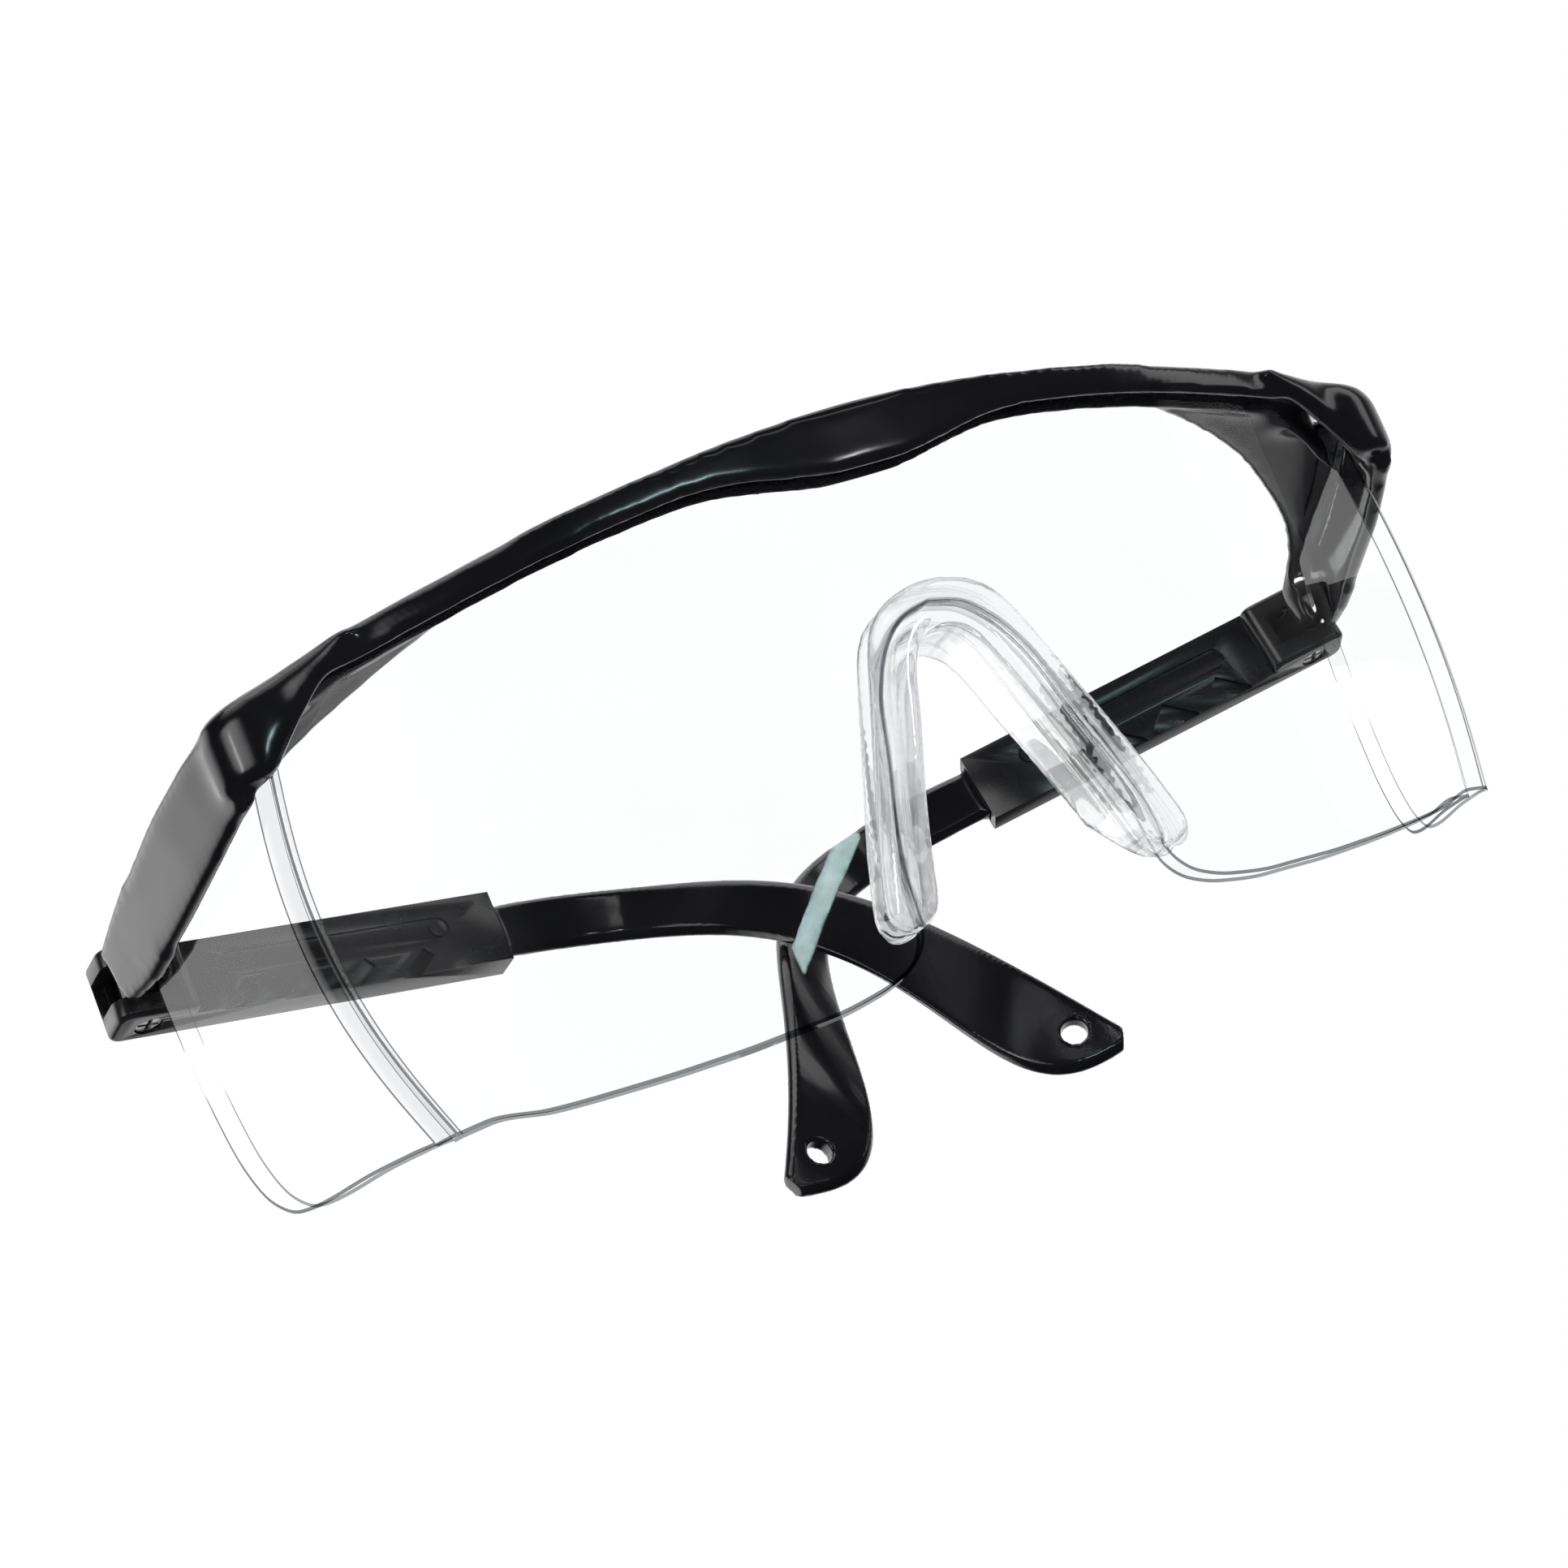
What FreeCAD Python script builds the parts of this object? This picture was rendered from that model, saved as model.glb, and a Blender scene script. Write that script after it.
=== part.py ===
import FreeCAD, Part
import math, os

V = FreeCAD.Vector
os.makedirs("parts", exist_ok=True)

# Safety glasses, millimetres. Worn pose: +Z up, +Y back towards the ears, +X the wearer's left.
# Temples are modelled folded. Front pieces are drawn in a front frame and leaned back by PANTO.
PANTO = 10.0            # lean of lens and brow bar
HINGE_LEAN = 3.0        # hinge axes lean inwards at the top
PIN_X, PIN_Y, PIN_Z = 74.0, 41.7, -3.1   # lower end of the hinge screw
FOLD_R, FOLD_L = 11.4, 17.4              # fold angle of the right (-X) and left (+X) temple

# lens
ARC_R = 120.0           # front curve, outer surface
SAG = 18.8
FOLD_HALF = 64.5        # half width at the fold, at z = 0
DRAFT = 0.0654          # fold line leans in towards the bottom
SHIELD_DX = 0.293       # sideways run of the side shield per mm back
SHIELD_REAR = 33.0
BULGE, BULGE_Z, BULGE_H = 2.6, -19.0, 22.0    # the fold bows outwards at mid height
BEND_R = 4.0
LENS_T = 2.1
LENS_GAP = 0.12         # slot clearance on each side of the lens
TOP_GAP = 0.25          # slot clearance above the lens

X, Y, Z = V(1, 0, 0), V(0, 1, 0), V(0, 0, 1)
ORIGIN = V(0, 0, 0)


def arc_y(x, off=0.0):
    """Front curve; positive off is in front of the lens."""
    r = ARC_R + off
    return -SAG + ARC_R - math.sqrt(r * r - x * x)


def mirror(shape):
    return shape.mirror(ORIGIN, X)


def spline(points):
    curve = Part.BSplineCurve()
    curve.interpolate([V(*p) for p in points])
    return curve.toShape()


def polygon(points):
    return Part.Wire([Part.makeLine(V(*a), V(*b)) for a, b in zip(points, points[1:] + points[:1])])


def prism(edges, direction):
    return Part.Face(Part.Wire(edges)).extrude(direction)


def one_solid(shape, merge=True):
    """The largest solid of a shape, with its split faces merged unless merge is false."""
    shape = shape.removeSplitter() if merge else shape
    return max(shape.Solids, key=lambda s: s.Volume)


# ------------------------------------------------------------- lens sheet
def fold_rail(off, z, rear):
    """Plan curve of half the sheet at height z, offset inwards by off: arc, bend, straight shield."""
    r = ARC_R - off
    cy = -SAG + ARC_R
    bow = BULGE * max(0.0, 1 - ((z - BULGE_Z) / BULGE_H) ** 2)
    xf = FOLD_HALF + DRAFT * z + bow
    run = SHIELD_DX - bow / SHIELD_REAR
    n = math.hypot(1.0, run)
    ox, oy = -off / n, off * run / n
    # straight line x = x0 + run * y
    x0 = xf + ox - run * oy
    # bend centre: distance r - b from the arc centre and b from the line, both on the inside
    b = BEND_R - off
    bx0 = x0 - b * n
    aa = 1 + run ** 2
    bb = 2 * (run * bx0 - cy)
    cc = bx0 ** 2 + cy ** 2 - (r - b) ** 2
    y_c = (-bb - math.sqrt(bb * bb - 4 * aa * cc)) / (2 * aa)
    x_c = bx0 + run * y_c
    d = math.hypot(x_c, y_c - cy)
    p_arc = (x_c * r / d, cy + (y_c - cy) * r / d)
    p_line = (x_c + b / n, y_c - b * run / n)
    u = (p_arc[0] - x_c + p_line[0] - x_c, p_arc[1] - y_c + p_line[1] - y_c)
    m = math.hypot(*u)
    p_mid = (x_c + b * u[0] / m, y_c + b * u[1] / m)
    p_rear = (x0 + run * rear, rear)
    return p_arc, p_mid, p_line, p_rear, (0.0, cy - r)


def sheet(outer, inner, z_top, z_low, rear):
    """Full-width folded sheet between two offsets, ruled from top to bottom."""
    wires = []
    count = max(2, int(round((z_top - z_low) / 7.0)))
    for i in range(count + 1):
        z = z_top + (z_low - z_top) * i / count
        edges = []
        ends = []
        for off in (outer, inner):
            a, m, l, e, c = fold_rail(off, z, rear)

            def p(q, s=1):
                return V(s * q[0], q[1], z)

            edges.append([Part.makeLine(p(e, -1), p(l, -1)),
                          Part.Arc(p(l, -1), p(m, -1), p(a, -1)).toShape(),
                          Part.Arc(p(a, -1), p(c), p(a)).toShape(),
                          Part.Arc(p(a), p(m), p(l)).toShape(),
                          Part.makeLine(p(l), p(e))])
            ends.append((p(e, -1), p(e)))
        loop = edges[0] + [Part.makeLine(ends[0][1], ends[1][1])] + edges[1][::-1]
        loop.append(Part.makeLine(ends[1][0], ends[0][0]))
        wires.append(Part.Wire(Part.__sortEdges__(loop)))
    return Part.makeLoft(wires, True, True)


# brow bar heights along the front, (|x|, top, bottom)
BAR_ROWS = [(0, 15.2, 8.0), (5, 15.1, 8.2), (9.5, 14.9, 9.1), (14, 14.7, 10.0), (19, 14.3, 10.4),
            (25, 13.8, 10.1), (33, 13.1, 9.4), (40, 12.2, 8.6), (48, 11.2, 7.6), (56, 10.0, 6.7),
            (62.5, 8.5, 5.9), (70, 7.0, 5.0)]
LENS_BITE = 2.2         # depth of lens edge inside the bar

NOTCH = [(14.6, -37.4), (14.2, -34.5), (12.8, -29.0), (10.5, -22.0), (8.4, -15.0), (6.0, -10.6),
         (3.2, -8.1), (0.0, -7.2)]
BOTTOM = [(62.0, -40.0), (56.5, -41.4), (50.8, -42.2), (42.0, -43.0), (35.0, -43.3), (28.0, -43.3),
          (22.0, -42.7), (18.2, -41.6), (15.6, -39.6), (14.6, -37.4)]
SHIELD_EDGE = [(0.0, -40.0), (6.0, -39.3), (13.5, -38.5), (21.5, -38.0), (26.5, -37.2), (29.8, -35.0),
               (32.0, -31.0), (33.2, -24.0), (33.4, -16.0), (32.9, -9.0), (31.0, -3.5), (29.5, -1.0)]


SHIELD_TOP = [(3.0, 4.0), (60.0, -6.6)]      # (y, z) line along the top of the side shields


def bar_curve(index, lift, half=74.0):
    pts = [(x, r[index] + lift) for r in BAR_ROWS for x in (r[0],)]
    pts[-1] = (half, pts[-1][1] - 0.8)
    left = [(-x, z) for x, z in pts[:0:-1]]
    return left + pts


def region(index_low, lift_low, index_top, lift_top, y0, y1, half=74.0):
    """Front-view region between two bar curves, extruded from y0 to y1."""
    low = [(x, y0, z) for x, z in bar_curve(index_low, lift_low, half)]
    top = [(x, y0, z) for x, z in bar_curve(index_top, lift_top, half)]
    edges = [spline(low), Part.makeLine(V(*low[-1]), V(*top[-1])), spline(top),
             Part.makeLine(V(*top[0]), V(*low[0]))]
    return prism(edges, V(0, y1 - y0, 0))


def lens():
    body = sheet(0.0, LENS_T, 14.0, -46.0, 38.0)
    # trim above the bar groove
    above = region(2, LENS_BITE, 1, 12.0, -40, 4.0, 90.0)
    body = body.cut(above)
    # shield top, under the web and the side arm
    top_box = polygon([(-90, *SHIELD_TOP[0]), (-90, *SHIELD_TOP[1]), (-90, 60, 40), (-90, 3.0, 40)])
    body = body.cut(Part.Face(top_box).extrude(V(180, 0, 0)))
    # nose notch and lower edge of the front
    low = [(x, -40, z) for x, z in BOTTOM]
    notch = [(x, -40, z) for x, z in NOTCH]
    right = [spline(low), spline(notch)]
    left = [mirror(e) for e in right]
    close = [Part.makeLine(V(62, -40, -40), V(62, -40, -60)), Part.makeLine(V(62, -40, -60), V(-62, -40, -60)),
             Part.makeLine(V(-62, -40, -60), V(-62, -40, -40))]
    wire = Part.Wire(Part.__sortEdges__(right + left + close))
    body = body.cut(Part.Face(wire).extrude(V(0, 60, 0)))
    # lower and rear edge of both side shields
    edge = [(-90, y, z) for y, z in SHIELD_EDGE]
    rim = [spline(edge), Part.makeLine(V(*edge[-1]), V(-90, 29.5, 8)), Part.makeLine(V(-90, 29.5, 8), V(-90, 60, 8)),
           Part.makeLine(V(-90, 60, 8), V(-90, 60, -60)), Part.makeLine(V(-90, 60, -60), V(-90, 0, -60)),
           Part.makeLine(V(-90, 0, -60), V(*edge[0]))]
    body = body.cut(Part.Face(Part.Wire(rim)).extrude(V(180, 0, 0)))
    under = polygon([(-90, -1.5, -40.0), (-90, 0, -40.0), (-90, 0, -60), (-90, -1.5, -60)])
    outside = Part.Face(under).extrude(V(28, 0, 0))
    body = body.cut(outside).cut(mirror(outside))
    return one_solid(body)


# ------------------------------------------------------------- brow frame
BAR_FRONT, BAR_BACK = 1.5, 3.3      # in front of and behind the lens surface
CAP_FRONT = 2.7
ARM_T = 2.5             # side arm thickness
# station y, outer top (x, z), outer bottom (x, z)
ARM_ROWS = [(-1.0, (69.3, 6.7), (68.3, -2.4)), (5.0, (71.4, 6.5), (69.7, -3.1)),
            (12.0, (73.2, 6.3), (71.3, -3.5)), (22.0, (74.9, 6.0), (73.2, -3.6)),
            (31.0, (76.3, 5.4), (75.0, -3.4)), (37.1, (77.2, 4.7), (76.5, -2.4))]
ARM_END = 37.1
WEB_ARC = [(34.0, -11.5), (37.0, -9.6), (45.0, -3.8), (51.0, 1.4), (57.5, 8.5), (62.0, 14.6), (66.0, 20.8),
           (68.6, 26.0), (70.6, 31.5), (71.6, 35.6)]
WEB_T = 1.5
LUG_R, LUG_LOW, LUG_TOP = 1.9, 2.35, 5.85    # hinge lug, heights above the screw's lower end
LUG_HALF = 1.5          # half width of the lug's neck
SCREW_R = 0.8


CAP_CORNER = [(61.5, -4.8), (65.5, -4.2), (68.0, -2.8), (69.3, -1.2), (69.8, 0.4), (66.0, 1.2)]


def leaned(shape):
    """Front frame to worn frame."""
    s = shape.copy()
    s.rotate(ORIGIN, X, PANTO)
    return s


def web_z(x, y):
    return 11.5 - 0.0812 * x - 0.0478 * y


def arm_section(y, top, low):
    """Rounded strip of thickness ARM_T inside the outer line from low to top."""
    a, b = V(low[0], y, low[1]), V(top[0], y, top[1])
    up = (b - a).normalize()
    inward = V(-up.z, 0, up.x)
    c = [a, b, b + inward * ARM_T, a + inward * ARM_T]
    pts = []
    for i in range(4):
        p, q, s = c[i - 1], c[i], c[(i + 1) % 4]
        pts += [q + (p - q).normalize() * 0.8, q + (s - q).normalize() * 0.8]
    return polygon([(v.x, v.y, v.z) for v in pts])


def brow_half():
    """Side arm, web and hinge lug of the left (+X) side, in the worn frame."""
    # side arm: rounded strip lofted through its stations
    arm = Part.makeLoft([arm_section(*row) for row in ARM_ROWS], True, True)
    # web: flat sheet between bar and side arm, with a hollowed rear edge
    arc = [(x, y, 0) for x, y in WEB_ARC]
    front = [arc[-1], (76.2, 35.6, 0), (75.8, 30.0, 0), (74.8, 22.0, 0), (73.2, 13.0, 0), (71.0, 5.5, 0),
             (68.8, 0.8, 0), (65.0, -2.6, 0), (60, -4.6, 0), (50, -9.6, 0), (42, -12.8, 0), (34, -15.2, 0), arc[0]]
    rim = [spline(arc)] + [Part.makeLine(V(*a), V(*b)) for a, b in zip(front, front[1:])]
    plan = prism(rim, V(0, 0, 40))
    slab = []
    for x, y in ((30, -30), (80, -30), (80, 45), (30, 45)):
        slab.append((x, y, web_z(x, y) - 0.3))
    plate = Part.Face(polygon(slab)).extrude(V(0, 0, WEB_T))
    web = plate.common(plan)
    # lug: rounded tongue with the hinge bore
    lug = Part.makeCylinder(LUG_R, LUG_TOP - LUG_LOW, V(0, 0, LUG_LOW), Z)
    block = Part.makeBox(2 * LUG_HALF, 8.2, LUG_TOP - LUG_LOW, V(-LUG_HALF, -8.2, LUG_LOW))
    lug = lug.fuse(block).cut(Part.makeCylinder(SCREW_R + 0.05, 20, V(0, 0, -5), Z))
    lug.rotate(ORIGIN, Y, -HINGE_LEAN)
    lug.translate(V(PIN_X, PIN_Y, PIN_Z))
    # thickened root that carries the lug on the inner face of the arm
    root = polygon([(73.6, 30.0, -1.2), (75.2, 30.0, -1.2), (76.0, ARM_END, -1.2), (PIN_X - 3.1, ARM_END, -1.2),
                    (PIN_X - 3.1, 35.6, -1.2)])
    root = Part.Face(root).extrude(V(0, 0, 5.6))
    return arm.fuse([web, root, lug])


def cap_half():
    """Raised corner cap of the left side, in the front frame."""
    face = [(53.2, -40, 9.9), (57.2, -40, 6.3), (60.6, -40, 3.1), (62.9, -40, 0.6), (64.3, -40, -0.6),
            (90, -40, -0.6), (90, -40, 6.9), (70.5, -40, 6.9), (66.5, -40, 7.9), (60.0, -40, 9.3), (54.6, -40, 10.45)]
    solid = Part.Face(polygon(face)).extrude(V(0, 60, 0))
    wrap = sheet(-CAP_FRONT, BAR_BACK + 0.4, 16.6, -4.3, 3.1)
    corner = polygon([(x, y, -5) for x, y in CAP_CORNER])
    wrap = wrap.fuse(Part.Face(corner).extrude(V(0, 0, 25)))
    return wrap.common(solid)


def brow_frame():
    bar = sheet(-BAR_FRONT, BAR_BACK, 18.0, -2.0, 3.0).common(region(2, 0.0, 1, 0.0, -40, 2.6))
    cap = cap_half()
    front = leaned(bar.fuse(cap).fuse(mirror(cap)))
    half = brow_half()
    whole = front.fuse(half).fuse(mirror(half))
    # groove for the lens edge in the bar, then room for the lens along the side arms
    slot = sheet(-LENS_GAP, LENS_T + LENS_GAP, 14.0, -46.0, 39.0)
    limit = region(2, LENS_BITE + TOP_GAP, 2, -40.0, -40, 3.4, 90.0)
    groove = slot.common(limit)
    for x in (-100, 0):
        whole = whole.cut(leaned(groove.common(Part.makeBox(100, 80, 80, V(x, -40, -40)))))
    (y0, z0), (y1, z1) = SHIELD_TOP
    side = polygon([(-100, 1.0, -43.5), (-100, y1, -43.5), (-100, y1, z1 + TOP_GAP), (-100, y0, z0 + TOP_GAP),
                    (-100, 1.0, z0 + TOP_GAP)])
    side_room = slot.common(Part.Face(side).extrude(V(200, 0, 0)))
    whole = whole.cut(leaned(side_room))
    return one_solid(whole, merge=False)


# ------------------------------------------------------------- nose piece
FLANGE_OUT = [(0.0, -5.0), (3.6, -5.6), (6.7, -7.5), (9.1, -12.0), (11.1, -17.5), (13.0, -22.8), (15.2, -29.0),
              (16.7, -34.0), (17.0, -36.6), (15.9, -38.3), (14.1, -38.2)]
FLANGE_IN = [(0.0, -9.9), (2.2, -10.6), (3.9, -12.8), (5.6, -17.5), (7.4, -22.5), (9.6, -29.0), (11.2, -34.5),
             (12.3, -37.2), (14.1, -38.2)]
FLANGE_FRONT = 1.5      # proud of the lens, front
FLANGE_REAR = 1.2       # proud of the lens, rear
SADDLE_T = 1.5
SADDLE_BACK = 8.0       # how far the saddle stands back


def ring(outer, inner, y0, depth):
    o = spline([(-x, y0, z) for x, z in outer[:0:-1]] + [(x, y0, z) for x, z in outer])
    i = spline([(-x, y0, z) for x, z in inner[:0:-1]] + [(x, y0, z) for x, z in inner])
    return prism(Part.__sortEdges__([o, i]), V(0, depth, 0))


def shell(front, back):
    """Part-cylinder shell that follows the lens front curve."""
    c = V(0, -SAG + ARC_R, -60)
    big = Part.makeCylinder(ARC_R + front, 80, c, Z)
    return big.cut(Part.makeCylinder(ARC_R - back, 80, c, Z)).common(Part.makeBox(60, 30, 80, V(-30, -40, -60)))


def nose_piece():
    flange = ring(FLANGE_OUT, FLANGE_IN, -40, 60).common(shell(FLANGE_FRONT, LENS_T + FLANGE_REAR))
    saddle_out = [(x * 0.93 + 0.55 * (x > 0.5) * SADDLE_T, z + (SADDLE_T if x < 6 else SADDLE_T * 0.55))
                  for x, z in FLANGE_IN[:-1]] + [(14.1, -38.2)]
    saddle_out[0] = (0.0, FLANGE_IN[0][1] + SADDLE_T)
    saddle = ring(saddle_out, FLANGE_IN, -40, 60).common(shell(FLANGE_FRONT, LENS_T + SADDLE_BACK))
    body = flange.fuse(saddle)
    # the saddle runs out towards its lower ends
    heel = polygon([(-30, -14.2, -45), (-30, -14.2, -37.2), (-30, -10.0, -32.0), (-30, 5, -24.0), (-30, 5, -45)])
    body = body.cut(Part.Face(heel).extrude(V(60, 0, 0)))
    # groove that takes the notch edge of the lens
    groove_in = [(x, z) for x, z in NOTCH]
    low = [(x, -40, z - 0.12) for x, z in groove_in]
    edge = [spline([(-x, y, z) for x, y, z in low[::1]] + [(x, y, z) for x, y, z in low[-2::-1]])]
    far = [V(14.6, -40, -37.52), V(14.8, -40, -40), V(30, -40, -40), V(30, -40, 5), V(-30, -40, 5),
           V(-30, -40, -40), V(-14.8, -40, -40), V(-14.6, -40, -37.52)]
    edge += [Part.makeLine(a, b) for a, b in zip(far, far[1:])]
    outside = prism(Part.__sortEdges__(edge), V(0, 60, 0))
    body = body.cut(outside.common(shell(0.05, LENS_T + 0.05)))
    return one_solid(body)


# ------------------------------------------------------------- temples
# temple frame: +X along the folded sleeve from the screw, +Y towards the lens, +Z up
SLEEVE_END = 43.5
SLEEVE_OUT, SLEEVE_IN = -2.9, 1.2
SLEEVE_LOW, SLEEVE_TOP = -0.3, 8.3
EAR_IN = 3.1
EAR_FRONT = -4.0
SLOT_LOW, SLOT_TOP = 2.05, 6.15
SLOT_FRONT, SLOT_REAR, SLOT_WALL = -2.4, 3.3, -1.9     # slot limits along and across the sleeve
SLOT_END = -2.2         # outer limit of the slot in the front end
TONGUE_LOW, TONGUE_TOP = 0.95, 7.15      # sliding tongue of the arm inside the sleeve
TONGUE_OUT, TONGUE_IN = -2.05, 0.35
TONGUE_START = 9.5
TONGUE_GAP = 0.2
NOTCHES = (10.6, 17.8, 24.8, 32.0)
# control points of the arm's two long edges, the last one shared at the tip
TOP_EDGE = [(43.5, 0.35, 7.1), (60.1, -0.7, 8.7), (67.2, -1.5, 4.8), (73.5, 13, 3.1), (74.7, 23.1, -8),
            (79, 32.8, -22.4), (90, 37, -38.4)]
LOW_EDGE = [(43.5, 0.35, 0.9), (59.8, -1.3, 1.6), (64.3, -2.8, 0.3), (75.2, 16, -3.8), (76.1, 29.7, -22.5),
            (70.2, 29, -46.4), (89.8, 37.2, -38.8)]
ARM_T0, ARM_T1 = 2.1, 2.0       # arm thickness at the sleeve and at the tip
HOLE_R = 1.45


def bezier(points, t):
    p = [V(*q) for q in points]
    while len(p) > 1:
        p = [a * (1 - t) + b * t for a, b in zip(p, p[1:])]
    return p[0]


def strip_frame(t):
    """Mid point, half height vector and face normal of the arm at parameter t."""
    a, b = bezier(TOP_EDGE, t), bezier(LOW_EDGE, t)
    e = 1e-3
    m0 = (bezier(TOP_EDGE, max(0, t - e)) + bezier(LOW_EDGE, max(0, t - e))) * 0.5
    m1 = (bezier(TOP_EDGE, min(1, t + e)) + bezier(LOW_EDGE, min(1, t + e))) * 0.5
    run = (m1 - m0).normalize()
    up = (a - b) * 0.5
    face = up.cross(run).normalize()      # towards the lens side
    if face.y < 0:
        face = face * -1
    return (a + b) * 0.5, up, face, run


def section(t, thick):
    mid, up, face, run = strip_frame(t)
    h = up.Length
    u = V(up).normalize()
    back = face * -thick
    r = min(0.7, thick * 0.35, h * 0.45)
    c = [mid - up, mid + up, mid + up + back, mid - up + back]
    pts = []
    for i in range(4):
        p, q, s = c[i - 1], c[i], c[(i + 1) % 4]
        d0 = (p - q).normalize() * r
        d1 = (s - q).normalize() * r
        pts += [q + d0, q + d1]
    return polygon([(v.x, v.y, v.z) for v in pts])


def arm_body():
    stations = [0.0, 0.06, 0.12, 0.18, 0.25, 0.32, 0.4, 0.48, 0.56, 0.64, 0.72, 0.79, 0.85, 0.9, 0.94, 0.965, 0.985]
    wires = [section(t, ARM_T0 + (ARM_T1 - ARM_T0) * t) for t in stations]
    body = Part.makeLoft(wires, True, False)
    tongue = Part.makeBox(SLEEVE_END - TONGUE_START + 0.6, TONGUE_IN - TONGUE_OUT, TONGUE_TOP - TONGUE_LOW,
                          V(TONGUE_START, TONGUE_OUT, TONGUE_LOW))
    body = body.fuse(tongue)
    mid, up, face, run = strip_frame(0.9275)
    centre = mid
    hole = Part.makeCylinder(HOLE_R, 12, centre + face * 6, face * -1)
    return one_solid(body.cut(hole)), centre, face


def sleeve_body():
    body = Part.makeBox(SLEEVE_END - EAR_FRONT, SLEEVE_IN - SLEEVE_OUT, SLEEVE_TOP - SLEEVE_LOW,
                        V(EAR_FRONT, SLEEVE_OUT, SLEEVE_LOW))
    ear = Part.makeBox(9.6, EAR_IN - SLEEVE_IN, SLEEVE_TOP - SLEEVE_LOW, V(EAR_FRONT, SLEEVE_IN, SLEEVE_LOW))
    body = body.fuse(ear).removeSplitter()
    upright = [e for e in body.Edges if e.BoundBox.ZLength > 7 and e.BoundBox.XMax < 6.5]
    corner = [e for e in upright if e.BoundBox.YMin > SLEEVE_IN + 0.5 or e.BoundBox.YMax < SLEEVE_OUT + 0.1]
    body = body.makeFillet(1.6, corner)
    long_edges = [e for e in body.Edges if e.BoundBox.XLength > 30 and e.BoundBox.YMin < SLEEVE_OUT + 0.1]
    body = body.makeFillet(0.6, long_edges)
    # slot for the frame lug, open towards the lens side and through the front end
    height = SLOT_TOP - SLOT_LOW
    slot = Part.makeBox(SLOT_REAR - EAR_FRONT + 3, 11.0, height, V(EAR_FRONT - 3, SLOT_WALL, SLOT_LOW))
    window = Part.makeBox(SLOT_FRONT - EAR_FRONT + 3, 11.0, height, V(EAR_FRONT - 3, SLOT_END, SLOT_LOW))
    lug_room = Part.makeCylinder(LUG_R + 0.3, height, V(0, 0, SLOT_LOW), Z)
    body = body.cut(slot.fuse(window)).cut(lug_room)
    # channel for the sliding tongue
    g = TONGUE_GAP
    channel = Part.makeBox(60, TONGUE_IN - TONGUE_OUT + 2 * g, TONGUE_TOP - TONGUE_LOW + 2 * g,
                           V(TONGUE_START - 1.0, TONGUE_OUT - g, TONGUE_LOW - g))
    body = body.cut(channel)
    # slanted grooves across the lower edge
    for x in NOTCHES:
        n = Part.makeBox(1.5, 1.2, 5.0, V(-0.75, 0, -2.5))
        n.rotate(ORIGIN, Y, 48)
        n.translate(V(x, SLEEVE_IN - 0.5, 0.6))
        body = body.cut(n)
    # shallow long recess with round ends on the inner face
    z, r = 4.9, 1.35
    recess = Part.makeBox(25.0, 1, 2 * r, V(11.0, SLEEVE_IN - 0.35, z - r))
    for x in (11.0, 36.0):
        recess = recess.fuse(Part.makeCylinder(r, 1, V(x, SLEEVE_IN - 0.35, z), Y))
    body = body.cut(recess)
    pip = Part.makeCylinder(1.0, 0.4, V(36.0, SLEEVE_IN - 0.37, z), Y)
    body = body.fuse(pip)
    # hinge screw bore, head recess below
    body = body.cut(Part.makeCylinder(SCREW_R + 0.03, 20, V(0, 0, -5), Z))
    body = body.cut(Part.makeCylinder(HEAD_R + 0.1, 1.1, V(0, 0, SLEEVE_LOW - 0.2), Z))
    return one_solid(body)


HEAD_R, HEAD_H = 1.5, 0.7


def screw_body():
    z0 = SLEEVE_LOW + 0.9 - HEAD_H
    head = Part.makeCylinder(HEAD_R, HEAD_H, V(0, 0, z0), Z)
    shaft = Part.makeCylinder(SCREW_R, SLEEVE_TOP - 0.3 - z0, V(0, 0, z0), Z)
    body = head.fuse(shaft)
    bar = Part.makeBox(2.4, 0.45, 0.35, V(-1.2, -0.225, z0))
    cross = Part.makeBox(0.45, 2.4, 0.35, V(-0.225, -1.2, z0))
    return one_solid(body.cut(bar).cut(cross))


def place(shape, side, fold):
    """Temple frame to worn frame; side is +1 for the wearer's left (+X)."""
    s = shape.copy()
    # built for the -X side: +X along the fold, +Y towards the lens is -Y of the worn frame
    s = s.mirror(ORIGIN, Y)
    s.rotate(ORIGIN, Z, fold)
    s.rotate(ORIGIN, Y, HINGE_LEAN)
    s.translate(V(-PIN_X, PIN_Y, PIN_Z))
    return s.mirror(ORIGIN, X) if side > 0 else s


def place_point(p, side, fold):
    v = Part.Vertex(p)
    return place(v, side, fold).Point


arm, hole_mid, hole_face = arm_body()
nodes = {"brow_frame": brow_frame(), "lens": leaned(lens()), "nose_piece": leaned(nose_piece())}
sleeve, screw = sleeve_body(), screw_body()
for tag, side, fold in (("right", -1, FOLD_R), ("left", 1, FOLD_L)):
    nodes["temple_sleeve_" + tag] = place(sleeve, side, fold)
    nodes["temple_arm_" + tag] = place(arm, side, fold)
    nodes["hinge_screw_" + tag] = place(screw, side, fold)

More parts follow.
